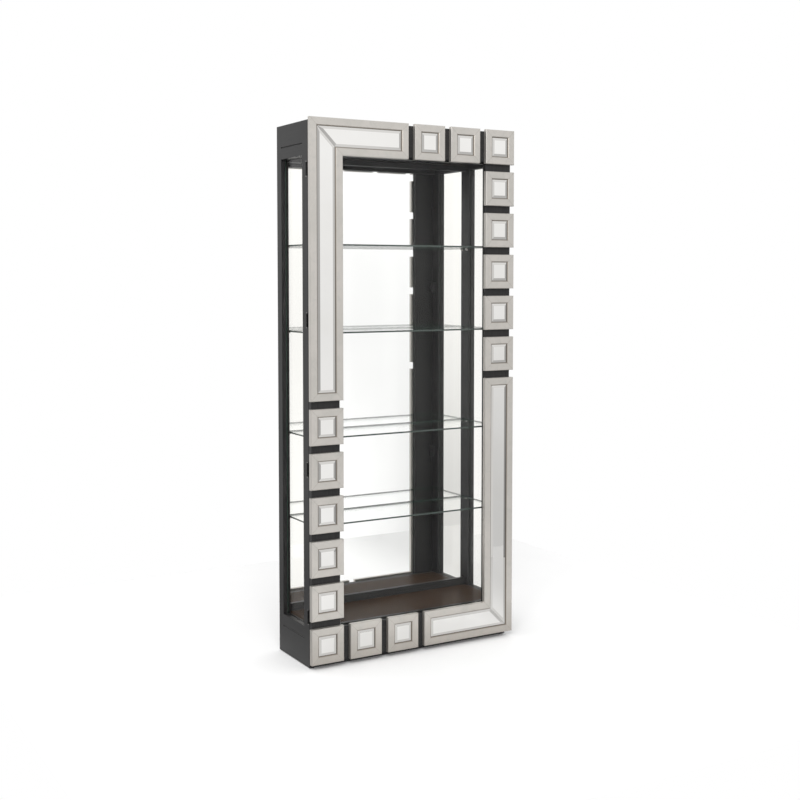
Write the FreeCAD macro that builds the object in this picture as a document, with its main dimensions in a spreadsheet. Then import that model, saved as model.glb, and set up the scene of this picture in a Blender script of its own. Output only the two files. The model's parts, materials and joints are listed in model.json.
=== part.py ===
# Tall display cabinet with a full-height mirrored door.
#
# Millimetres. +Z is up, -Y is the front, +X is to the right as one faces the front.
# The origin is on the floor, below the middle of the cabinet's overall box.
# The case stands behind; the glass door hangs on four butt hinges at its left edge and carries
# two L-shaped mirror frames and sixteen square mirror tiles.

import FreeCAD, Part
import os
import re
import Sketcher

Vector = FreeCAD.Vector
Rotation = FreeCAD.Rotation

SIZES = {
    # overall box, over the door's mirror frames
    "overall_width": 900, "overall_depth": 306, "overall_height": 2032,
    "overhang": 9, "top_overhang": 7, "foot_overhang": 2,
    # mirror frames and tiles on the door
    "floor_clear": 22, "tile_size": 134, "frame_thick": 17, "frame_border": 30.5,
    "arm_long": 1032, "arm_short": 414, "frame_edge": 2, "lip_width": 4.5, "recess_depth": 8.5,
    "mirror_thick": 5, "mirror_drop": 3.5, "mirror_fit": 0.3, "bevel_width": 10, "bevel_drop": 1.5,
    # door
    "door_thick": 20, "door_gap": 3, "door_reveal": 8, "door_rebate": 10,
    "rebate_depth": 12,
    "glass_thick": 4, "glass_fit": 0.5,
    # case
    "board": 30, "front_post": 45, "back_post": 38, "head_height": 126, "sill_height": 152,
    "groove_drop": 82, "groove_rise": 106, "groove_size": 4, "side_rebate": 6, "panel": 18,
    "deck_height": 152, "back_panel_thick": 4, "back_rebate": 8, "back_inset": 2,
    "back_mirror_top": 1903, "strip_thick": 8, "strip_top_low": 1893, "strip_height": 20,
    "strip_foot_height": 30, "rail_half": 300, "rail_height": 90, "rail_hole": 3,
    "rail_hole_half": 203.2, "back_hole": 5,
    "glide_height": 3, "glide_radius": 10, "glide_inset": 13,
    # shelves, measured to their undersides
    "shelf_one": 525, "shelf_two": 853, "shelf_three": 1244, "shelf_four": 1571,
    "shelf_thick": 6, "shelf_fit": 2, "shelf_setback": 15, "shelf_back_gap": 5,
    "peg_radius": 2.5, "peg_depth": 9, "peg_reach": 9, "peg_collar": 4.5, "peg_collar_thick": 1.5,
    "peg_front": 21, "peg_back": 28, "peg_step": 32,
    # lights and the cord inlet
    "lamp_radius": 35, "lamp_height": 22, "lamp_rim": 5, "lamp_hollow": 12, "lamp_spread": 200,
    "lens_thick": 3, "lens_inset": 2,
    "inlet_x": 360, "inlet_z": 1960, "inlet_radius": 12, "inlet_bore": 5, "inlet_flange": 3,
    "inlet_flange_thick": 1.5,
    # hinges
    "hinge_low": 197, "hinge_step": 550, "hinge_height": 52, "knuckle_radius": 3.5,
    "knuckle_gap": 0.5, "hinge_out": 5, "leaf_width": 20, "leaf_clear": 0.7, "leaf_thick": 1.2,
    "pin_radius": 1.5, "pin_play": 0.06, "pin_head": 2.8, "pin_head_thick": 1.5,
    # magnetic catches and their strike plates
    "catch_low": 690, "catch_step": 720, "catch_wide": 16, "catch_deep": 25, "catch_tall": 44,
    "catch_proud": 0.5, "strike_wide": 14, "strike_tall": 40, "strike_thick": 1.5,
}

# Places worked out from the sizes, as expressions of the sheet's names.
TILE_FACE = "(-overall_depth / 2)"
DOOR_FACE = "(-overall_depth / 2 + frame_thick)"
DOOR_BACK = "(-overall_depth / 2 + frame_thick + door_thick)"
CASE_FRONT = "(-overall_depth / 2 + frame_thick + door_thick + door_gap)"
CASE_BACK = "(overall_depth / 2)"
OUTER = "(overall_width / 2 - overhang)"
INNER = "(overall_width / 2 - overhang - board)"
CASE_TOP = "(overall_height - top_overhang)"
HEAD_LOW = "(overall_height - top_overhang - head_height)"
CEILING = "(overall_height - top_overhang - panel)"
BOARD_FRONT = f"({CASE_FRONT} + front_post)"
BOARD_BACK = f"({CASE_BACK} - back_post)"
PANEL_BACK = f"({CASE_BACK} - back_inset)"
PANEL_FRONT = f"({CASE_BACK} - back_inset - back_panel_thick)"
MIRROR_FRONT = f"({CASE_BACK} - back_inset - back_panel_thick - glass_thick)"
HEADER_BACK = f"({CASE_FRONT} + panel)"
DOOR_LOW = "(floor_clear + foot_overhang)"
DOOR_INNER = "(overall_width / 2 - tile_size + door_reveal)"
DOOR_OPEN_LOW = "(floor_clear + tile_size - door_reveal)"
DOOR_OPEN_HIGH = "(overall_height - tile_size + door_reveal)"
TILE_STEP_X = "((overall_width - arm_short) / 3)"
TILE_STEP_Z = "((overall_height - floor_clear - arm_long) / 6)"
RECESS_FLOOR = f"({TILE_FACE} + recess_depth)"
HINGE_X = f"(-{OUTER} - hinge_out)"
HINGE_Y = f"({CASE_FRONT} - door_gap / 2)"
SHELVES = ("shelf_one", "shelf_two", "shelf_three", "shelf_four")
SIDES = {"left": -1, "right": 1}
BIG = "3000"  # longer than the cabinet, for tools that cut right through

doc = FreeCAD.newDocument("display_cabinet")
sheet = doc.addObject("Spreadsheet::Sheet", "Sizes")
for row, (alias, value) in enumerate(SIZES.items(), start=1):
    sheet.set(f"A{row}", alias)
    sheet.set(f"B{row}", str(value))
    sheet.setAlias(f"B{row}", alias)
doc.recompute()

nodes = []  # the finished pieces, one file each


def rule(text):
    """An expression that reads the sheet, from one that uses its bare names."""
    def named(match):
        word = match.group(0)
        return f"Sizes.{word}" if word in SIZES else word
    return re.sub(r"[a-z][a-z_]*", named, text)


def bind(obj, values):
    for prop, text in values.items():
        obj.setExpression(prop, rule(text))


def put(obj, x, y, z, rotation=None):
    """Place an object: a fixed turn, and a base point bound to the sheet."""
    if rotation is not None:
        obj.Placement = FreeCAD.Placement(Vector(0, 0, 0), rotation)
    bind(obj, {"Placement.Base.x": x, "Placement.Base.y": y, "Placement.Base.z": z})


def keep(obj, name):
    """Mark an object as a finished piece under its own name."""
    obj.Label = name
    nodes.append(obj)
    return obj


# ---------------------------------------------------------------- solids and booleans

def box(x, y, z, name="Block"):
    """A box between two expressions on each axis."""
    block = doc.addObject("Part::Box", name)
    bind(block, {prop: f"{high} - ({low})"
                 for prop, (low, high) in zip(("Length", "Width", "Height"), (x, y, z))})
    put(block, x[0], y[0], z[0])
    return block


def rod(radius, length, x, y, z, along="Z"):
    """A cylinder that starts at a point and runs along +X, +Y or +Z."""
    turns = {"X": Rotation(Vector(0, 1, 0), 90), "Y": Rotation(Vector(1, 0, 0), -90),
             "Z": Rotation()}
    cylinder = doc.addObject("Part::Cylinder", "Rod")
    bind(cylinder, {"Radius": radius, "Height": length})
    put(cylinder, x, y, z, turns[along])
    return cylinder


def cut(base, *tools):
    for tool in tools:
        step = doc.addObject("Part::Cut", "Cut")
        step.Base = base
        step.Tool = tool
        base = step
    return base


def fuse(*parts):
    joined = doc.addObject("Part::MultiFuse", "Fuse")
    joined.Shapes = list(parts)
    joined.Refine = True
    return joined


def group(parts, name="Group"):
    """Several separate solids as one object."""
    together = doc.addObject("Part::Compound", name)
    together.Links = list(parts)
    return together


def span(sign, near, far):
    """The X range between two distances from the middle, on the left (-1) or right (1)."""
    return (f"-{far}", f"-{near}") if sign < 0 else (near, far)


# ---------------------------------------------------------------- sketched pieces

def outline(body, points, depth="0"):
    """A closed sketch on the body's XZ plane, moved towards the front by depth."""
    sketch = body.newObject("Sketcher::SketchObject", "Outline")
    plane = next(item for item in body.Origin.OriginFeatures if item.Role == "XZ_Plane")
    sketch.AttachmentSupport = [(plane, "")]
    sketch.MapMode = "FlatFace"
    bind(sketch, {"AttachmentOffset.Base.z": depth})
    count = len(points)
    start = [Vector(10.0 * step, 5.0 * step * (count - step), 0) for step in range(count)]
    for step in range(count):
        sketch.addGeometry(Part.LineSegment(start[step], start[(step + 1) % count]), False)
    for step in range(count):
        sketch.addConstraint(Sketcher.Constraint("Coincident", step, 2, (step + 1) % count, 1))
    for step, (across, up) in enumerate(points):
        for kind, axis, text in (("DistanceX", -2, across), ("DistanceY", -1, up)):
            if text == "0":
                sketch.addConstraint(Sketcher.Constraint("PointOnObject", step, 1, axis))
            else:
                index = sketch.addConstraint(Sketcher.Constraint(kind, -1, 1, step, 1, 10.0))
                bind(sketch, {f"Constraints[{index}]": text})
    return sketch


def pad(body, points, thickness):
    feature = body.newObject("PartDesign::Pad", "Pad")
    feature.Profile = outline(body, points)
    bind(feature, {"Length": thickness})
    return feature


def recess(body, points, thickness, depth):
    feature = body.newObject("PartDesign::Pocket", "Recess")
    feature.Profile = outline(body, points, thickness)
    bind(feature, {"Length": depth})
    return feature


def front_edges(feature, thickness, inside):
    """The names of the straight edges of the front face, on its rim or round its opening."""
    front = -thickness
    flat = [(f"Edge{number}", edge) for number, edge in enumerate(feature.Shape.Edges, start=1)
            if all(abs(vertex.Point.y - front) < 1e-6 for vertex in edge.Vertexes)]
    face = next(item for item in feature.Shape.Faces
                if abs(item.CenterOfMass.y - front) < 1e-6 and abs(item.normalAt(0, 0).y) > 0.9)
    rim = [edge.hashCode() for edge in face.OuterWire.Edges]
    return [name for name, edge in flat if (edge.hashCode() in rim) != inside]


def chamfer(body, feature, edges, size, second=None):
    bevel = body.newObject("PartDesign::Chamfer", "Chamfer")
    bevel.Base = (feature, edges)
    bind(bevel, {"Size": size})
    if second:
        bevel.ChamferType = "Two distances"
        bind(bevel, {"Size2": second})
    return bevel


def inset(points, border):
    """The corners of an outline moved inwards, each by its own sign on X and on Z."""
    return [(f"{x} + {border} * ({sx})", f"{z} + {border} * ({sz})") for x, z, sx, sz in points]


def frame_body(name, corners):
    """A flat frame with a recess for its mirror, its rim eased and the recess's lip sloped.

    corners: x, z, and the way in from that corner on X and on Z.
    """
    body = doc.addObject("PartDesign::Body", "Frame")
    pad(body, [(x, z) for x, z, _, _ in corners], "frame_thick")
    hollow = recess(body, inset(corners, "frame_border"), "frame_thick", "recess_depth")
    doc.recompute()
    thickness = SIZES["frame_thick"]
    rim = chamfer(body, hollow, front_edges(hollow, thickness, False), "frame_edge")
    doc.recompute()
    lip = chamfer(body, rim, front_edges(rim, thickness, True), "lip_width", "mirror_drop")
    body.Tip = lip
    return keep(body, name)


def pane_body(left, right):
    """A bevelled mirror pane: straight sides left and right, and a level or mitred top."""
    width = "(tile_size - 2 * frame_border - 2 * mirror_fit)"
    body = doc.addObject("PartDesign::Body", "Pane")
    solid = pad(body, [("0", "0"), (width, "0"), (width, right), ("0", left)], "mirror_thick")
    doc.recompute()
    edges = front_edges(solid, SIZES["mirror_thick"], False)
    body.Tip = chamfer(body, solid, edges, "bevel_drop", "bevel_width")
    return body


# ---------------------------------------------------------------- case

def glass_rebate(sign):
    """The channel round a side opening that takes the glass and its beads."""
    return box(span(sign, INNER, f"({OUTER} - board + rebate_depth)"),
               (f"{BOARD_FRONT} - side_rebate", f"{BOARD_BACK} + side_rebate"),
               ("sill_height - side_rebate", f"{HEAD_LOW} + side_rebate"))


def peg_heights():
    """Each shelf's peg height, with a spare hole above and below it."""
    return [f"({shelf} - peg_radius + ({step}) * peg_step)"
            for shelf in SHELVES for step in (-1, 0, 1)]


def peg_holes(y):
    reach = f"({INNER} + peg_depth)"
    return group([rod("peg_radius", f"2 * {reach}", f"-{reach}", y, height, "X")
                  for height in peg_heights()])


def groove(sign, height):
    """A square bar turned 45 degrees, to rout a V along the outer face of a side board."""
    bar = box(("0", "groove_size"), ("0", BIG), ("0", "groove_size"))
    put(bar, f"{sign} * {OUTER} - groove_size / sqrt(2)", "-1500", height,
        Rotation(Vector(0, 1, 0), 45))
    return bar


def case():
    peg_front = peg_holes(f"{CASE_FRONT} + peg_front")
    peg_back = peg_holes(f"{CASE_BACK} - peg_back")
    behind = f"({INNER} + back_rebate)"
    back_rebate = box((f"-{behind}", behind), (MIRROR_FRONT, f"{CASE_BACK} + 1"), ("0", BIG))
    for side, sign in SIDES.items():
        rebate = glass_rebate(sign)
        across = span(sign, INNER, OUTER)
        depth = (BOARD_FRONT, BOARD_BACK)
        front = box(across, (CASE_FRONT, BOARD_FRONT), ("glide_height", CASE_TOP))
        keep(cut(front, rebate, peg_front), f"front_post_{side}")
        back = box(across, (BOARD_BACK, CASE_BACK), ("glide_height", CASE_TOP))
        keep(cut(back, rebate, peg_back, back_rebate), f"back_post_{side}")
        head = box(across, depth, (HEAD_LOW, CASE_TOP))
        keep(cut(head, rebate, groove(sign, f"{CASE_TOP} - groove_drop")), f"side_head_{side}")
        base = box(across, depth, ("glide_height", "sill_height"))
        keep(cut(base, rebate, groove(sign, "groove_rise")), f"side_base_{side}")
    inside = (f"-{INNER}", INNER)
    keep(box(inside, (CASE_FRONT, HEADER_BACK), (HEAD_LOW, CASE_TOP)), "front_header")
    keep(box(inside, (CASE_FRONT, HEADER_BACK), ("glide_height", "deck_height")), "plinth_front")
    keep(box(inside, (HEADER_BACK, PANEL_FRONT), ("deck_height - panel", "deck_height")),
         "floor_deck")
    keep(box(inside, (HEADER_BACK, PANEL_FRONT), (CEILING, CASE_TOP)), "top_panel")
    glides = [rod("glide_radius", "glide_height", f"{sign} * ({OUTER} - board / 2)", y, "0")
              for sign in SIDES.values()
              for y in (f"{CASE_FRONT} + glide_inset", f"{CASE_BACK} - glide_inset")]
    keep(group(glides), "floor_glides")


def side_glazing():
    """One pane each side, and the four beads that hold it from inside."""
    beads = []
    deep = f"({INNER} + strip_thick)"
    for side, sign in SIDES.items():
        pane = box(span(sign, deep, f"({deep} + glass_thick)"),
                   (f"{BOARD_FRONT} - side_rebate + glass_fit",
                    f"{BOARD_BACK} + side_rebate - glass_fit"),
                   ("sill_height - side_rebate + glass_fit",
                    f"{HEAD_LOW} + side_rebate - glass_fit"))
        keep(pane, f"side_glass_{side}")
        across = span(sign, INNER, deep)
        tall = ("sill_height - side_rebate", f"{HEAD_LOW} + side_rebate")
        beads.append(box(across, (f"{BOARD_FRONT} - side_rebate", BOARD_FRONT), tall))
        beads.append(box(across, (BOARD_BACK, f"{BOARD_BACK} + side_rebate"), tall))
        for low, high in (("sill_height - side_rebate", "sill_height"),
                          (HEAD_LOW, f"{HEAD_LOW} + side_rebate")):
            beads.append(box(across, (BOARD_FRONT, BOARD_BACK), (low, high)))
    keep(group(beads), "side_glass_beads")


def back():
    """The hardboard back, the mirror in front of it, and what holds them."""
    edge = f"({INNER} + back_rebate - glass_fit)"
    wide = (f"-{edge}", edge)
    inside = (f"-{INNER}", INNER)
    panel = box(wide, (PANEL_FRONT, PANEL_BACK), ("glide_height + 7", f"{CASE_TOP} - 9"))
    rail_middle = f"({CEILING} - rail_height / 2)"
    wall_holes = []
    panel_holes = [rod("inlet_radius", BIG, "inlet_x", "0", "inlet_z", "Y")]
    for sign in SIDES.values():
        x = f"{sign} * rail_hole_half"
        wall_holes.append(rod("rail_hole", BIG, x, "0", rail_middle, "Y"))
        panel_holes.append(rod("back_hole", BIG, x, "0", rail_middle, "Y"))
    keep(cut(panel, group(panel_holes)), "back_panel")
    keep(box(wide, (MIRROR_FRONT, PANEL_FRONT), ("deck_height", "back_mirror_top")), "back_mirror")
    ahead = (f"{MIRROR_FRONT} - strip_thick", MIRROR_FRONT)
    strips = [box(inside, ahead, ("strip_top_low", "strip_top_low + strip_height")),
              box(inside, ahead, ("deck_height", "deck_height + strip_foot_height"))]
    keep(group(strips), "mirror_strips")
    rail = box(("-rail_half", "rail_half"), (f"{PANEL_FRONT} - panel", PANEL_FRONT),
               (f"{CEILING} - rail_height", CEILING))
    keep(cut(rail, group(wall_holes)), "wall_rail")


def cord_inlet():
    """A rubber grommet in the back for the lights' cord."""
    inner_face = f"({PANEL_FRONT} - inlet_flange_thick)"
    length = "(back_panel_thick + 2 * inlet_flange_thick)"
    flange = "inlet_radius + inlet_flange"
    ring = fuse(rod("inlet_radius", length, "inlet_x", inner_face, "inlet_z", "Y"),
                rod(flange, "inlet_flange_thick", "inlet_x", inner_face, "inlet_z", "Y"),
                rod(flange, "inlet_flange_thick", "inlet_x", PANEL_BACK, "inlet_z", "Y"))
    bore = rod("inlet_bore", BIG, "inlet_x", "0", "inlet_z", "Y")
    keep(cut(ring, bore), "cord_grommet")


def lights():
    """Two round lights on the underside of the top panel."""
    housings = []
    lenses = []
    rim = f"({CEILING} - lamp_height)"
    middle = f"(({HEADER_BACK} + {MIRROR_FRONT}) / 2)"
    for sign in SIDES.values():
        x = f"{sign} * lamp_spread"
        can = rod("lamp_radius", "lamp_height", x, middle, rim)
        housings.append(cut(can, rod("lamp_radius - lamp_rim", "lamp_hollow", x, middle, rim)))
        lenses.append(rod("lamp_radius - lamp_rim", "lens_thick", x, middle, f"{rim} + lens_inset"))
    keep(group(housings), "light_housings")
    keep(group(lenses), "light_lenses")


def shelves():
    """Four glass shelves, each on four metal pegs pushed into the posts."""
    edge = f"({INNER} - shelf_fit)"
    pegs = []
    for number, shelf in enumerate(SHELVES, start=1):
        keep(box((f"-{edge}", edge),
                 (f"{CASE_FRONT} + shelf_setback", f"{MIRROR_FRONT} - shelf_back_gap"),
                 (shelf, f"{shelf} + shelf_thick")), f"glass_shelf_{number}")
        for y in (f"{CASE_FRONT} + peg_front", f"{CASE_BACK} - peg_back"):
            for sign in SIDES.values():
                height = f"({shelf} - peg_radius)"
                stem = span(sign, f"({INNER} - peg_reach)", f"({INNER} + peg_depth)")
                collar = span(sign, f"({INNER} - peg_collar_thick)", INNER)
                pegs.append(fuse(
                    rod("peg_radius", "peg_reach + peg_depth", stem[0], y, height, "X"),
                    rod("peg_collar", "peg_collar_thick", collar[0], y, height, "X")))
    keep(group(pegs), "shelf_pins")


# ---------------------------------------------------------------- door

def door_frame():
    """Two stiles, two rails, one pane and its beads."""
    rebate_x = f"({DOOR_INNER} + door_rebate)"
    low = f"({DOOR_OPEN_LOW} - door_rebate)"
    high = f"({DOOR_OPEN_HIGH} + door_rebate)"
    channel = (f"{DOOR_BACK} - rebate_depth", DOOR_BACK)
    rebate = box((f"-{rebate_x}", rebate_x), channel, (low, high))
    thick = (DOOR_FACE, DOOR_BACK)
    for side, sign in SIDES.items():
        stile = box(span(sign, DOOR_INNER, OUTER), thick, (DOOR_LOW, CASE_TOP))
        keep(cut(stile, rebate), f"door_stile_{side}")
    inside = (f"-{DOOR_INNER}", DOOR_INNER)
    keep(cut(box(inside, thick, (DOOR_OPEN_HIGH, CASE_TOP)), rebate), "door_rail_top")
    keep(cut(box(inside, thick, (DOOR_LOW, DOOR_OPEN_LOW)), rebate), "door_rail_bottom")
    glass_y = (channel[0], f"{channel[0]} + glass_thick")
    keep(box((f"-{rebate_x} + glass_fit", f"{rebate_x} - glass_fit"), glass_y,
             (f"{low} + glass_fit", f"{high} - glass_fit")), "door_glass")
    bead_y = (glass_y[1], DOOR_BACK)
    beads = [box(span(sign, DOOR_INNER, rebate_x), bead_y, (low, high))
             for sign in SIDES.values()]
    beads.append(box(inside, bead_y, (low, DOOR_OPEN_LOW)))
    beads.append(box(inside, bead_y, (DOOR_OPEN_HIGH, high)))
    keep(group(beads), "door_glass_beads")


def l_corners():
    """The L outline from the foot of its long arm, and the way in from each corner."""
    inner_z = "arm_long - tile_size"
    return [("0", "0", 1, 1), ("tile_size", "0", -1, 1), ("tile_size", inner_z, -1, 1),
            ("arm_short", inner_z, -1, 1), ("arm_short", "arm_long", -1, -1),
            ("0", "arm_long", 1, -1)]


def l_mirrors():
    """Two L frames, the lower one the upper one turned half round, each with two mitred panes."""
    width = "(tile_size - 2 * frame_border - 2 * mirror_fit)"
    inset_edge = "(frame_border + mirror_fit)"
    places = {"upper": ("(-overall_width / 2)", "(overall_height - arm_long)", 1, 0),
              "lower": ("(overall_width / 2)", "(floor_clear + arm_long)", -1, 180)}
    for name, (x, z, sign, turn) in places.items():
        frame = frame_body(f"mirror_frame_{name}", l_corners())
        put(frame, x, DOOR_FACE, z, Rotation(Vector(0, 1, 0), turn))
        tall = "(arm_long - 2 * frame_border - 3 * mirror_fit)"
        wide = "(arm_short - 2 * frame_border - 3 * mirror_fit)"
        upright = pane_body(tall, f"{tall} - {width}")
        put(upright, f"{x} + {sign} * {inset_edge}", RECESS_FLOOR,
            f"{z} + {sign} * {inset_edge}", Rotation(Vector(0, 1, 0), turn))
        level = pane_body(f"{wide} - {width}", wide)
        put(level, f"{x} + {sign} * (arm_short - {inset_edge})", RECESS_FLOOR,
            f"{z} + {sign} * (arm_long - tile_size + {inset_edge})",
            Rotation(Vector(0, 1, 0), turn - 90))
        keep(group([upright, level]), f"mirror_panes_{name}")


def tile_places():
    """The lower left corner of each tile: top row, right column, left column, bottom row."""
    left = "(-overall_width / 2)"
    right = "(overall_width / 2 - tile_size)"
    top = "(overall_height - tile_size)"
    places = [(f"{right} - {step} * {TILE_STEP_X}", top) for step in (2, 1, 0)]
    places += [(right, f"{top} - {step} * {TILE_STEP_Z}") for step in (1, 2, 3, 4, 5)]
    places += [(left, f"floor_clear + {step} * {TILE_STEP_Z}") for step in (5, 4, 3, 2, 1)]
    places += [(f"{left} + {step} * {TILE_STEP_X}", "floor_clear") for step in (0, 1, 2)]
    return places


def tiles():
    corners = [("0", "0", 1, 1), ("tile_size", "0", -1, 1), ("tile_size", "tile_size", -1, -1),
               ("0", "tile_size", 1, -1)]
    inset_edge = "(frame_border + mirror_fit)"
    side = "tile_size - 2 * frame_border - 2 * mirror_fit"
    mirrors = []
    for number, (x, z) in enumerate(tile_places(), start=1):
        put(frame_body(f"tile_frame_{number:02d}", corners), x, DOOR_FACE, z)
        mirror = pane_body(side, side)
        put(mirror, f"{x} + {inset_edge}", RECESS_FLOOR, f"{z} + {inset_edge}")
        mirrors.append(mirror)
    keep(group(mirrors), "tile_mirrors")


# ---------------------------------------------------------------- hinges and catches

def hinge_leaf(middle, knuckles, face, bore):
    """One leaf: a plate, its knuckles rolled round the pin, and the tabs that join them.

    middle: the hinge's mid height. knuckles: which of the three, counted from the bottom.
    face: the plate's two Y faces. bore: the radius of the hole for the pin.
    """
    low = f"({middle} - hinge_height / 2)"
    pitch = "((hinge_height + knuckle_gap) / 3)"
    plate_start = f"({HINGE_X} + knuckle_radius + leaf_clear)"
    parts = [box((plate_start, f"{plate_start} + leaf_width"), face,
                 (low, f"{low} + hinge_height"))]
    for step in knuckles:
        bottom = f"({low} + {step} * {pitch})"
        height = f"({pitch} - knuckle_gap)"
        parts.append(rod("knuckle_radius", height, HINGE_X, HINGE_Y, bottom))
        parts.append(box((HINGE_X, plate_start), face, (bottom, f"{bottom} + {height}")))
    hole = rod(bore, "hinge_height", HINGE_X, HINGE_Y, low)
    return cut(fuse(*parts), hole)


def hinge_pin(middle):
    low = f"({middle} - hinge_height / 2)"
    return fuse(rod("pin_radius", "hinge_height", HINGE_X, HINGE_Y, low),
                rod("pin_head", "pin_head_thick", HINGE_X, HINGE_Y, f"{low} - pin_head_thick"),
                rod("pin_head", "pin_head_thick", HINGE_X, HINGE_Y, f"{low} + hinge_height"))


def hinges():
    """Four butt hinges, evenly spaced up the left edge."""
    heights = [f"(hinge_low + {step} * hinge_step)" for step in range(4)]
    case_face = (f"{CASE_FRONT} - leaf_thick", CASE_FRONT)
    door_face = (DOOR_BACK, f"{DOOR_BACK} + leaf_thick")
    keep(group([hinge_leaf(middle, (0, 2), case_face, "pin_radius") for middle in heights]),
         "hinge_case_leaves")
    keep(group([hinge_leaf(middle, (1,), door_face, "pin_radius + pin_play")
                for middle in heights]), "hinge_door_leaves")
    keep(group([hinge_pin(middle) for middle in heights]), "hinge_pins")


def catches():
    """Two magnetic catches inside the right post, and the steel plates they hold."""
    magnets = []
    strikes = []
    face = f"({CASE_FRONT} - catch_proud)"
    for step in range(2):
        middle = f"(catch_low + {step} * catch_step)"
        magnets.append(box((f"{INNER} - catch_wide", INNER), (face, f"{face} + catch_deep"),
                           (f"{middle} - catch_tall / 2", f"{middle} + catch_tall / 2")))
        strikes.append(box((f"{INNER} - catch_wide / 2 - strike_wide / 2",
                            f"{INNER} - catch_wide / 2 + strike_wide / 2"),
                           (DOOR_BACK, f"{DOOR_BACK} + strike_thick"),
                           (f"{middle} - strike_tall / 2", f"{middle} + strike_tall / 2")))
    keep(group(magnets), "magnetic_catches")
    keep(group(strikes), "strike_plates")


# ---------------------------------------------------------------- check and write

def broken(obj):
    shape = getattr(obj, "Shape", None)
    return shape is None or shape.isNull() or not shape.isValid()


def write_parts():
    doc.recompute()
    failed = [obj.Label for obj in doc.Objects if {"Invalid", "Error"} & set(obj.State)]
    failed += [obj.Label for obj in nodes if broken(obj)]
    if failed:
        raise RuntimeError("these pieces failed: " + ", ".join(failed))
    os.makedirs("parts", exist_ok=True)
    for obj in nodes:
        obj.Shape.exportStep(f"parts/{obj.Label}.step")
    whole = Part.makeCompound([obj.Shape for obj in nodes]).BoundBox
    print(f"{len(nodes)} pieces, {whole.XLength:.1f} x {whole.YLength:.1f} x {whole.ZLength:.1f} mm")


case()
side_glazing()
back()
cord_inlet()
lights()
shelves()
door_frame()
l_mirrors()
tiles()
hinges()
catches()
write_parts()
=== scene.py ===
"""Looks, lights and camera for the mirrored glass display cabinet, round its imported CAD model."""

import json
import math

import bpy
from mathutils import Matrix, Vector

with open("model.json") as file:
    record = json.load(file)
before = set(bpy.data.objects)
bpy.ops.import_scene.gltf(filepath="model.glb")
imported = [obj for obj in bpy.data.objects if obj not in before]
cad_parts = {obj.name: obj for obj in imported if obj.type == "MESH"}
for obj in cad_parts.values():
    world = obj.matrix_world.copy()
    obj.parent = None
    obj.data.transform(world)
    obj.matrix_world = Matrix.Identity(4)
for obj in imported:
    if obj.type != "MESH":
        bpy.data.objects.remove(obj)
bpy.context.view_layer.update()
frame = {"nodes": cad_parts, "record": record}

NODES = frame["nodes"]
SLOT_OF = {part["node"]: part["material_slot"] for part in frame["record"]["subparts"]}

# Camera: place in m, turn in degrees, and the rise of the picture in sensor widths.
CAMERA_PLACE = (-2.3451, -4.0577, 1.4563)
CAMERA_TURN = (86.77, 0.0, -30.17)
LENS_MM = 53.78
SENSOR_MM = 36
SHIFT_Y = -0.07

# The mirror frames' own measures, in mm: a square tile, and the L from the foot of its long arm.
ARM = 134
L_WIDTH = 414
L_HEIGHT = 1032
L_INNER = L_HEIGHT - ARM
TILE_SIZE = (ARM, ARM)
L_SIZE = (L_WIDTH, L_HEIGHT)
BORDER = 30.5
RIM = 10
MITRE_WIDTH = 0.7
# Each corner: x, z, and which way is into the frame on X and on Z.
TILE_CORNERS = ((0, 0, 1, 1), (ARM, 0, -1, 1), (ARM, ARM, -1, -1), (0, ARM, 1, -1))
L_CORNERS = ((0, 0, 1, 1), (ARM, 0, -1, 1), (ARM, L_INNER, -1, 1), (L_WIDTH, L_INNER, -1, 1),
             (L_WIDTH, L_HEIGHT, -1, -1), (0, L_HEIGHT, 1, -1))
MOULDING_HOLES = {  # rectangles that lie inside the outer rim
    TILE_SIZE: (((RIM, RIM), (ARM - RIM, ARM - RIM)),),
    L_SIZE: (((RIM, RIM), (ARM - RIM, L_HEIGHT - RIM)),
             ((RIM, L_INNER + RIM), (L_WIDTH - RIM, L_HEIGHT - RIM))),
}

# Noise mostly lies between these two values.
MOST = (0.3, 0.7)

# Wood: how its noise is stretched across and along the grain, and how deep the pores are, in m.
ACROSS_GRAIN = 22
ALONG_GRAIN = 1.2
PORES_FINER = 4
PORE_DEPTH = 0.0006
LACQUER_ROUGH = 0.42

# Silver leaf: its cool and warm tones, its worn patches and specks, and the lip's two browns, which
# are partly antique glaze and partly painted shade; the lighter brown also paints shade towards the
# floor.
LEAF_COOL = (0.52, 0.50, 0.465)
LEAF_WARM = (0.585, 0.555, 0.52)
LEAF_PATCH = (0.44, 0.45, 0.425)
LEAF_FLECK = (0.29, 0.27, 0.24)
BROWN_GLAZE_AND_SHADE = (0.20, 0.165, 0.13)
DARK_GLAZE_AND_SHADE = (0.035, 0.028, 0.022)
PATCH_RANGE = (0.52, 0.78, 0.0, 0.45)  # from and to these noise values, from and to these shares
FLECK_RANGE = (0.6, 0.8, 0.0, 0.35)
FLOOR_SHADE_RANGE = (0.16, 0.02, 0.0, 0.38)  # painted shade: the leaf darkens towards the floor, by height in m
SLOPE_DEPTH = (0.01, 0.14)  # how far back the slope and the wall lie, as shares of the depth
WALL_DEPTH = (0.18, 0.24)
JOINT_BROWN = 0.45
SLOPE_GLAZE_AND_SHADE = 0.85
LEAF_DEPTH = 0.0004

# The ground bevels of the door's mirrors, with painted shade: a darker tone that stands in for the
# darker surroundings they reflect.
BEVEL_RANGE = (0.994, 0.990)  # the bevel's normal has less than this of Y
BEVEL_SHADE_SHARE = 0.45
BEVEL_SHADE_TONE = (0.36, 0.345, 0.325)

# How much sheet glass mirrors: head on, and how much more at a grazing angle.
GLASS_SHINE = (0.006, 0.012)
GLASS_GRAZING = 0.6
GLASS_POWER = 5.0

# The stage: the floor's half width in m, its tone and its own glow.
FLOOR_HALF = 1.5
FLOOR_GLOW = 0.06
FLOOR_TONES = ((0.91, 0.91, 0.91), (0.93, 0.93, 0.93))
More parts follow.
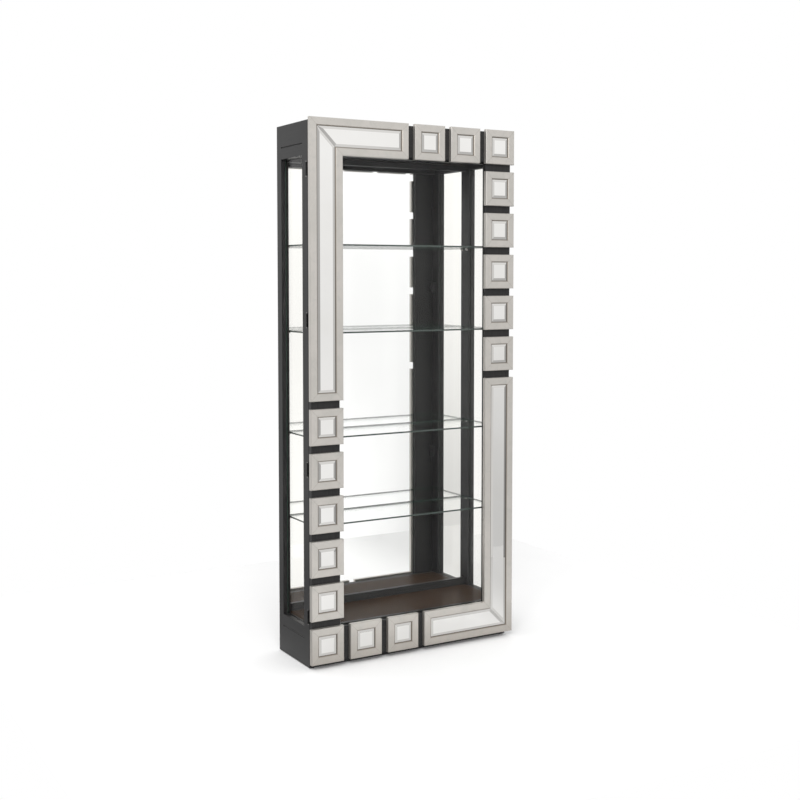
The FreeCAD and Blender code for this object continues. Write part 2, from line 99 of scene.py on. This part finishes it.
# For every ray but the camera's, the floor dims between these distances to the right and left.
FADE_RIGHT, FLOOR_RIGHT = (0.42, 0.95), (0.68, 0.68, 0.68)
FADE_LEFT, FLOOR_LEFT = (-0.42, -0.68), (0.30, 0.30, 0.30)

# The surround. Heights and depths are the Z and Y of a direction one unit long.
AMBIENT_AHEAD, AMBIENT_BEHIND, AMBIENT_LOW = 0.80, 1.05, 0.60
AMBIENT_DEPTHS = (-0.3, 0.3)
AMBIENT_HEIGHTS = (-0.3, 0.25)
LOW_LEFT, LOW_RIGHT = 0.22, -0.18  # how the surround brightens or dims below the horizon
LOW_HEIGHTS = (-0.02, -0.20)
LOW_BEARINGS = (math.radians(28), math.radians(33))
PANEL_BEARING = 30
PANEL_EDGE = (math.radians(11), math.radians(18))
PANEL_HEIGHTS = (0.42, 0.62)
PANEL_GAIN = 0.40

# The one lamp: place, what it points at, width and height, and watts.
KEY_PLACE = (-2.5, -3.6, 3.9)
KEY_TARGET = (0, 0, 1.2)
KEY_SIZE = (2.6, 2.0)
KEY_POWER = 130

# Light passes many panes and mirrors on its way through the cabinet.
CLEAR_BOUNCES = 24
ALL_BOUNCES = 16
GLOSSY_BOUNCES = 10


# ---------------------------------------------------------------- node helpers

class Tree:
    """The node tree of a new material or world, with short ways to add and join nodes."""

    def __init__(self, name, store=bpy.data.materials, output="ShaderNodeOutputMaterial"):
        self.owner = store.new(name)
        self.owner.use_nodes = True
        self.tree = self.owner.node_tree
        self.tree.nodes.clear()
        self.output = self.add(output)

    def add(self, kind, **values):
        node = self.tree.nodes.new(kind)
        for key, value in values.items():
            setattr(node, key, value)
        return node

    def join(self, source, target):
        self.tree.links.new(source, target)

    def feed(self, value, target):
        if isinstance(value, bpy.types.NodeSocket):
            self.join(value, target)
        else:
            target.default_value = value

    def math(self, operation, first, second=0.0, third=0.0):
        node = self.add("ShaderNodeMath", operation=operation)
        for value, socket in zip((first, second, third), node.inputs):
            self.feed(value, socket)
        return node.outputs[0]

    def coords(self, kind="Object", scale=(1, 1, 1)):
        source = self.add("ShaderNodeTexCoord").outputs[kind]
        mapping = self.add("ShaderNodeMapping")
        mapping.inputs["Scale"].default_value = scale
        self.join(source, mapping.inputs["Vector"])
        return mapping.outputs[0]

    def axis(self, vector, name):
        node = self.add("ShaderNodeSeparateXYZ")
        self.join(vector, node.inputs[0])
        return node.outputs[name]

    def noise(self, vector, scale, detail, roughness=0.55, distortion=0.0):
        node = self.add("ShaderNodeTexNoise")
        self.join(vector, node.inputs["Vector"])
        for name, value in (("Scale", scale), ("Detail", detail), ("Roughness", roughness),
                            ("Distortion", distortion)):
            node.inputs[name].default_value = value
        return node.outputs["Fac"]

    def ramp(self, value, low, high, to_low=0.0, to_high=1.0, smooth=False):
        node = self.add("ShaderNodeMapRange",
                        interpolation_type="SMOOTHSTEP" if smooth else "LINEAR")
        for name, amount in (("From Min", low), ("From Max", high), ("To Min", to_low),
                             ("To Max", to_high)):
            node.inputs[name].default_value = amount
        self.join(value, node.inputs["Value"])
        return node.outputs[0]

    def within(self, value, low, high):
        return self.math("MULTIPLY", self.math("GREATER_THAN", value, low),
                         self.math("LESS_THAN", value, high))

    def mix(self, factor, first, second):
        node = self.add("ShaderNodeMix", data_type="RGBA")
        self.feed(factor, node.inputs[0])
        for value, socket in ((first, node.inputs[6]), (second, node.inputs[7])):
            self.feed(value if isinstance(value, bpy.types.NodeSocket) else (*value, 1.0), socket)
        return node.outputs[2]

    def bump(self, height, strength, distance):
        node = self.add("ShaderNodeBump")
        node.inputs["Strength"].default_value = strength
        node.inputs["Distance"].default_value = distance
        self.join(height, node.inputs["Height"])
        return node.outputs[0]

    def principled(self, **values):
        node = self.add("ShaderNodeBsdfPrincipled")
        for name, value in values.items():
            self.feed(value, node.inputs[name.replace("_", " ")])
        self.join(node.outputs[0], self.output.inputs["Surface"])

    def camera_ray(self):
        return self.add("ShaderNodeLightPath").outputs["Is Camera Ray"]


# ---------------------------------------------------------------- materials

def wood(name, dark, light, gloss, along, sheen=0.28):
    """A close-grained stained or lacquered board. along: the axis its grain follows."""
    t = Tree(name)
    stretch = tuple(ALONG_GRAIN if letter == along else ACROSS_GRAIN for letter in "XYZ")
    grain = t.noise(t.coords(scale=stretch), 9, 6, 0.62, 0.4)
    pores = t.noise(t.coords(scale=tuple(PORES_FINER * s for s in stretch)), 14, 3, 0.5)
    cloud = t.noise(t.coords(), 3.1, 3)
    colour = t.mix(t.ramp(grain, 0.35, 0.7), dark, light)
    rough = t.math("ADD", t.ramp(grain, *MOST, gloss - 0.03, gloss + 0.05),
                   t.ramp(cloud, *MOST, -0.02, 0.03))
    height = t.math("ADD", t.math("MULTIPLY", grain, 0.6), t.math("MULTIPLY", pores, 0.4))
    t.principled(Base_Color=colour, Roughness=rough, Specular_IOR_Level=sheen,
                 Normal=t.bump(height, 0.16, PORE_DEPTH))
    return t.owner


def silver_leaf(name, size, corners, turned=False):
    """Warm silver leaf over a mitred moulding, browner in the lip round each mirror (partly antique
    glaze, partly painted shade), with painted shade darkening it towards the floor.

    size: the piece's width and height in mm. turned: it is turned half round from its corners.
    """
    t = Tree(name)
    place = t.coords()
    share = t.coords("Generated")
    ends = (1, 0) if turned else (0, 1)
    across, up = (t.ramp(t.axis(share, letter), *ends, 0.0, extent)
                  for letter, extent in zip("XZ", size))
    tone = t.noise(place, 9, 5, 0.6, 0.6)
    fleck = t.noise(place, 210, 3, 0.7)
    patch = t.noise(place, 34, 4, 0.65, 1.2)
    colour = t.mix(t.ramp(tone, *MOST), LEAF_COOL, LEAF_WARM)
    colour = t.mix(t.ramp(patch, *PATCH_RANGE), colour, LEAF_PATCH)
    colour = t.mix(t.ramp(fleck, *FLECK_RANGE), colour, LEAF_FLECK)
    joint = 0.0
    for x, z, way_x, way_z in corners:
        in_x = t.math("MULTIPLY", t.math("SUBTRACT", across, x), way_x)
        in_z = t.math("MULTIPLY", t.math("SUBTRACT", up, z), way_z)
        apart = t.math("ABSOLUTE", t.math("SUBTRACT", in_x, in_z))
        line = t.math("MULTIPLY", t.math("LESS_THAN", apart, MITRE_WIDTH),
                      t.within(in_x, -1.0, BORDER))
        joint = t.math("MAXIMUM", joint, line)
    inside = 0.0
    for (x0, z0), (x1, z1) in MOULDING_HOLES[size]:
        here = t.math("MULTIPLY", t.within(across, x0, x1), t.within(up, z0, z1))
        inside = t.math("MAXIMUM", inside, here)
    depth = t.axis(share, "Y")
    slope = t.math("MULTIPLY", inside, t.ramp(depth, *SLOPE_DEPTH))
    wall = t.math("MULTIPLY", inside, t.ramp(depth, *WALL_DEPTH))
    # Painted shade: the leaf darkens towards the floor, where less light reaches it.
    colour = t.mix(t.ramp(t.axis(place, "Z"), *FLOOR_SHADE_RANGE), colour, BROWN_GLAZE_AND_SHADE)
    colour = t.mix(t.math("MULTIPLY", joint, JOINT_BROWN), colour, BROWN_GLAZE_AND_SHADE)
    # Painted shade: the lip's slope and its recess wall are darkened, partly as antique glaze and
    # partly as the shade that falls into the recess.
    colour = t.mix(t.math("MULTIPLY", slope, SLOPE_GLAZE_AND_SHADE), colour, BROWN_GLAZE_AND_SHADE)
    colour = t.mix(wall, colour, DARK_GLAZE_AND_SHADE)
    rough = t.math("ADD", t.ramp(patch, *MOST, 0.34, 0.44), t.math("MULTIPLY", slope, 0.1))
    height = t.math("ADD", t.math("MULTIPLY", patch, 0.5), t.math("MULTIPLY", fleck, 0.5))
    t.principled(Base_Color=colour, Metallic=0.7, Roughness=rough,
                 Normal=t.bump(height, 0.22, LEAF_DEPTH))
    return t.owner


def mirror(name, dull, clear):
    """Silvered glass, with a slow change of tone. dull, clear: what it reflects of each colour."""
    t = Tree(name)
    haze = t.noise(t.coords(), 5, 3)
    colour = t.mix(t.ramp(haze, 0.35, 0.7), dull, clear)
    facing = t.math("ABSOLUTE", t.axis(t.coords("Normal"), "Y"))
    # Painted shade: the bevels are darkened to stand in for the darker surroundings they reflect.
    colour = t.mix(t.ramp(facing, *BEVEL_RANGE, 0.0, BEVEL_SHADE_SHARE), colour, BEVEL_SHADE_TONE)
    t.principled(Base_Color=colour, Metallic=1.0, Roughness=t.ramp(haze, *MOST, 0.012, 0.03))
    return t.owner


def glass(name, tint, edge, flat_axis):
    """Clear sheet glass, plain on the faces across flat_axis and tinted on its thin edges."""
    t = Tree(name)
    clear = t.add("ShaderNodeBsdfTransparent")
    clear.inputs["Color"].default_value = (*tint, 1.0)
    shine = t.add("ShaderNodeBsdfGlossy")
    shine.inputs["Color"].default_value = (1, 1, 1, 1)
    shine.inputs["Roughness"].default_value = 0.0
    weight = t.add("ShaderNodeLayerWeight")
    weight.inputs["Blend"].default_value = 0.5
    smear = t.noise(t.coords(), 2.3, 2)
    gloss = t.math("MULTIPLY_ADD", t.math("POWER", weight.outputs["Facing"], GLASS_POWER),
                   GLASS_GRAZING, t.ramp(smear, *MOST, *GLASS_SHINE))
    face = t.add("ShaderNodeMixShader")
    t.join(gloss, face.inputs[0])
    t.join(clear.outputs[0], face.inputs[1])
    t.join(shine.outputs[0], face.inputs[2])
    rim = t.add("ShaderNodeBsdfPrincipled")
    wave = t.noise(t.coords(scale=(6, 6, 60)), 8, 3)
    t.join(t.mix(t.ramp(wave, *MOST), edge, tuple(1.3 * c for c in edge)),
           rim.inputs["Base Color"])
    rim.inputs["Roughness"].default_value = 0.12
    flat = t.math("ABSOLUTE", t.axis(t.coords("Normal"), flat_axis))
    both = t.add("ShaderNodeMixShader")
    t.join(t.math("GREATER_THAN", flat, 0.5), both.inputs[0])
    t.join(rim.outputs[0], both.inputs[1])
    t.join(face.outputs[0], both.inputs[2])
    t.join(both.outputs[0], t.output.inputs["Surface"])
    return t.owner


def plain(name, colour, rough, metallic=0.0):
    """Moulded plastic, rubber or plated metal, with a fine surface."""
    t = Tree(name)
    fine = t.noise(t.coords(), 260, 3)
    wide = t.noise(t.coords(), 18, 3)
    shade = t.mix(t.ramp(wide, *MOST), tuple(0.85 * c for c in colour),
                  tuple(min(1.0, 1.15 * c) for c in colour))
    t.principled(Base_Color=shade, Roughness=t.ramp(wide, *MOST, rough - 0.04, rough + 0.05),
                 Metallic=metallic, Normal=t.bump(fine, 0.15, 0.0002))
    return t.owner


BLACK = ((0.013, 0.013, 0.0135), (0.030, 0.029, 0.0285))
BROWN = ((0.024, 0.012, 0.005), (0.060, 0.033, 0.017))
HARDBOARD = ((0.035, 0.028, 0.024), (0.06, 0.048, 0.04))
GLASS_EDGE = (0.10, 0.20, 0.155)
SHELF_EDGE = (0.030, 0.045, 0.038)

materials = {
    "black_z": wood("black_lacquer_upright", *BLACK, LACQUER_ROUGH, "Z"),
    "black_x": wood("black_lacquer_level", *BLACK, LACQUER_ROUGH, "X"),
    "black_y": wood("black_lacquer_deep", *BLACK, LACQUER_ROUGH, "Y"),
    "brown_wood": wood("espresso_stain", *BROWN, LACQUER_ROUGH, "X", 0.04),
    "hardboard": wood("hardboard", *HARDBOARD, 0.7, "X"),
    "tile": silver_leaf("silver_leaf_tile", TILE_SIZE, TILE_CORNERS),
    "l_upper": silver_leaf("silver_leaf_upper", L_SIZE, L_CORNERS),
    "l_lower": silver_leaf("silver_leaf_lower", L_SIZE, L_CORNERS, turned=True),
    "mirror": mirror("bevelled_mirror", (0.735, 0.725, 0.705), (0.765, 0.757, 0.742)),
    "back_mirror": mirror("back_mirror", (0.95, 0.95, 0.945), (0.965, 0.965, 0.96)),
    "door_glass": glass("clear_door_glass", (0.995, 0.996, 0.994), GLASS_EDGE, "Y"),
    "side_glass": glass("clear_side_glass", (0.995, 0.99, 0.975), GLASS_EDGE, "X"),
    "shelf_glass": glass("shelf_glass", (0.988, 0.994, 0.99), SHELF_EDGE, "Z"),
    "black_steel": plain("black_hinge_steel", (0.012, 0.012, 0.012), 0.38, 0.6),
    "bright_steel": plain("nickel_plate", (0.60, 0.59, 0.57), 0.25, 1.0),
    "black_plastic": plain("black_plastic", (0.02, 0.02, 0.02), 0.5),
    "lamp_metal": plain("lamp_metal", (0.02, 0.02, 0.02), 0.35, 0.4),
    "lamp_lens": plain("lamp_lens", (0.85, 0.84, 0.80), 0.45),
    "black_rubber": plain("black_rubber", (0.018, 0.018, 0.018), 0.7),
}


def material_for(node):
    """The piece's slot names its material, or this picks the one that suits where it stands."""
    slot = SLOT_OF[node]
    if slot == "dark_wood":
        if node.startswith(("front_post", "back_post", "door_stile", "side_glass_beads")):
            return materials["black_z"]
        if node.startswith(("side_head", "side_base")):
            return materials["black_y"]
        return materials["black_x"]
    if slot == "silver_leaf":
        if node.startswith("tile"):
            return materials["tile"]
        return materials["l_upper" if node.endswith("upper") else "l_lower"]
    if slot == "clear_glass":
        return materials["door_glass" if node == "door_glass" else "side_glass"]
    if node == "back_mirror":
        return materials["back_mirror"]
    return materials[slot]


for name, node in NODES.items():
    node.data.materials.clear()
    node.data.materials.append(material_for(name))


# ---------------------------------------------------------------- stage, lights, camera

def floor():
    t = Tree("pale_floor")
    tone = t.noise(t.coords(), 1.4, 3)
    across = t.axis(t.coords(), "X")
    pale = t.mix(t.ramp(tone, *MOST), *FLOOR_TONES)
    dimmed = t.mix(t.ramp(across, *FADE_RIGHT, smooth=True), pale, FLOOR_RIGHT)
    dimmed = t.mix(t.ramp(across, *FADE_LEFT, smooth=True), dimmed, FLOOR_LEFT)
    t.principled(Base_Color=t.mix(t.camera_ray(), dimmed, pale), Roughness=0.95,
                 Specular_IOR_Level=0.0, Emission_Color=(1.0, 1.0, 1.0, 1.0),
                 Emission_Strength=FLOOR_GLOW)
    mesh = bpy.data.meshes.new("floor")
    mesh.from_pydata([(FLOOR_HALF * x, FLOOR_HALF * y, 0)
                      for x, y in ((-1, -1), (1, -1), (1, 1), (-1, 1))], [], [(0, 1, 2, 3)])
    mesh.materials.append(t.owner)
    ground = bpy.data.objects.new("floor", mesh)
    bpy.context.scene.collection.objects.link(ground)


def area_light(name, place, target, size, power):
    light = bpy.data.lights.new(name, "AREA")
    light.shape = "RECTANGLE"
    light.size, light.size_y = size
    light.energy = power
    lamp = bpy.data.objects.new(name, light)
    lamp.location = place
    aim = Vector(target) - Vector(place)
    lamp.rotation_euler = aim.to_track_quat("-Z", "Y").to_euler()
    bpy.context.scene.collection.objects.link(lamp)


def studio():
    """White where the camera sees it. Its light has a bright upright panel to the front right."""
    t = Tree("studio", bpy.data.worlds, "ShaderNodeOutputWorld")
    towards = t.coords("Generated")
    x, y, z = (t.axis(towards, letter) for letter in "XYZ")
    bearing = t.math("ARCTAN2", x, t.math("MULTIPLY", y, -1.0))  # from straight ahead of the door
    aside = t.math("ABSOLUTE", t.math("SUBTRACT", bearing, math.radians(PANEL_BEARING)))
    steep = t.math("ABSOLUTE", z)
    panel = t.math("MULTIPLY", t.ramp(aside, *PANEL_EDGE, 1.0, 0.0, True),
                   t.ramp(steep, *PANEL_HEIGHTS, 1.0, 0.0, True))
    below = t.ramp(z, *LOW_HEIGHTS, smooth=True)
    right = t.ramp(bearing, *LOW_BEARINGS, smooth=True)
    level = t.ramp(y, *AMBIENT_DEPTHS, AMBIENT_AHEAD, AMBIENT_BEHIND, True)
    ambient = t.math("MULTIPLY", level, t.ramp(z, *AMBIENT_HEIGHTS, AMBIENT_LOW, 1.0, True))
    light = t.math("MULTIPLY_ADD", panel, PANEL_GAIN, ambient)
    change = t.math("MULTIPLY_ADD", right, LOW_RIGHT - LOW_LEFT, LOW_LEFT)
    light = t.math("MULTIPLY", light, t.math("MULTIPLY_ADD", below, change, 1.0))
    seen = t.camera_ray()
    strength = t.math("ADD", t.math("MULTIPLY", light, t.math("SUBTRACT", 1.0, seen)), seen)
    background = t.add("ShaderNodeBackground")
    background.inputs["Color"].default_value = (1, 1, 1, 1)
    t.join(strength, background.inputs["Strength"])
    t.join(background.outputs[0], t.output.inputs["Surface"])
    bpy.context.scene.world = t.owner


def camera():
    data = bpy.data.cameras.new("camera")
    data.lens = LENS_MM
    data.sensor_width = SENSOR_MM
    data.shift_y = SHIFT_Y
    eye = bpy.data.objects.new("camera", data)
    eye.location = CAMERA_PLACE
    eye.rotation_euler = [math.radians(angle) for angle in CAMERA_TURN]
    bpy.context.scene.collection.objects.link(eye)
    bpy.context.scene.camera = eye


floor()
studio()
area_light("key", KEY_PLACE, KEY_TARGET, KEY_SIZE, KEY_POWER)
camera()

scene = bpy.context.scene
scene.view_settings.view_transform = "Standard"
scene.cycles.transparent_max_bounces = CLEAR_BOUNCES
scene.cycles.max_bounces = ALL_BOUNCES
scene.cycles.glossy_bounces = GLOSSY_BOUNCES
